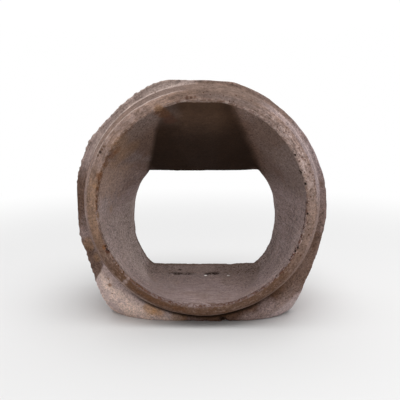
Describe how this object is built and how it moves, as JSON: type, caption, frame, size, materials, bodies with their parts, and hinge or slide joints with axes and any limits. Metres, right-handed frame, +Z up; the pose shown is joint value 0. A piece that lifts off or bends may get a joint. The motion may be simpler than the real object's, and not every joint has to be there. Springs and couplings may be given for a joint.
{
  "type": "gully shaft cone",
  "caption": "Cast concrete cone for a street gully: round tapered spigot at one end, flat-sided opening for a rectangular grate at the other, lying on its flat side.",
  "frame": {"origin": "on the floor under the middle of the object: foot side at Z = 0, halfway along its length, on its plane of symmetry", "axes": "+Z up from the flat foot side, +Y along the flow axis from the spigot face to the seat, +X to the right seen from the spigot"},
  "size_m": [0.554, 0.295, 0.548],
  "materials": {
    "concrete": "rough cast concrete"
  },
  "bodies": {
    "root": {"cone_body": "concrete"}
  },
  "joints": []
}
